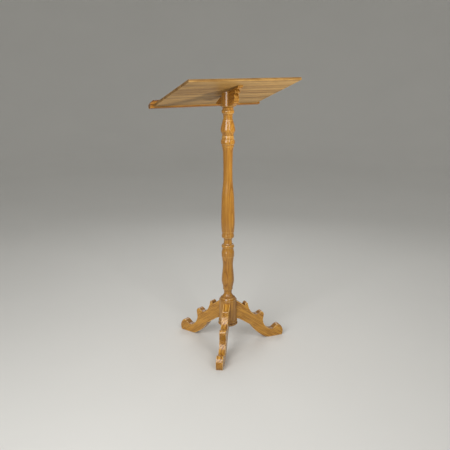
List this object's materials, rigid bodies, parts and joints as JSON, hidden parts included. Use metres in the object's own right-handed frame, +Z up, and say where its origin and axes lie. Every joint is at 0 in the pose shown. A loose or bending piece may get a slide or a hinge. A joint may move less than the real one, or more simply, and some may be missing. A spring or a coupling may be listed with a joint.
{
  "type": "lectern",
  "caption": "Standing wooden lectern: sloping plank desk with a book ledge on a swivelling head, turned baluster column and scroll-sawn tripod legs.",
  "frame": {"origin": "on the floor, in the middle of the lectern's plan box", "axes": "+Z up along the column, +Y towards the audience behind the desk, -Y towards the reader, +X along the desk's width"},
  "size_m": [0.5709, 0.5105, 1.2499],
  "materials": {
    "varnished_oak": "gloss varnish, honey colour",
    "pale_varnished_oak": "satin varnish, pale honey colour",
    "end_grain_oak": "satin varnish on end grain",
    "bare_oak": "unfinished",
    "screw_steel": "plain steel"
  },
  "bodies": {
    "stand": {"hub": "varnished_oak", "leg_front": "varnished_oak", "leg_left": "varnished_oak", "leg_right": "varnished_oak", "base_cap": "varnished_oak", "tenon_wedge": "bare_oak", "lower_baluster": "varnished_oak", "main_shaft": "varnished_oak", "neck_vase": "varnished_oak"},
    "desk": {"head_fork": "varnished_oak", "fork_peg_lower": "end_grain_oak", "fork_peg_upper": "end_grain_oak", "desk_bracket": "varnished_oak", "desk_plank_1": "pale_varnished_oak", "desk_plank_2": "pale_varnished_oak", "desk_plank_3": "pale_varnished_oak", "desk_plank_4": "pale_varnished_oak", "book_ledge": "varnished_oak", "ledge_dowel_1": "bare_oak", "ledge_dowel_2": "bare_oak", "ledge_dowel_3": "bare_oak", "ledge_dowel_4": "bare_oak", "bracket_screw_1": "screw_steel", "bracket_screw_2": "screw_steel", "bracket_screw_3": "screw_steel", "screw_plug_1": "end_grain_oak", "screw_plug_2": "end_grain_oak", "screw_plug_3": "end_grain_oak"}
  },
  "joints": [
    {"name": "desk_swivel", "type": "hinge", "parent": "stand", "child": "desk", "pos_m": [0.00252, 0.01365, 1.1094], "axis": [0, 0, 1], "continuous": true}
  ]
}
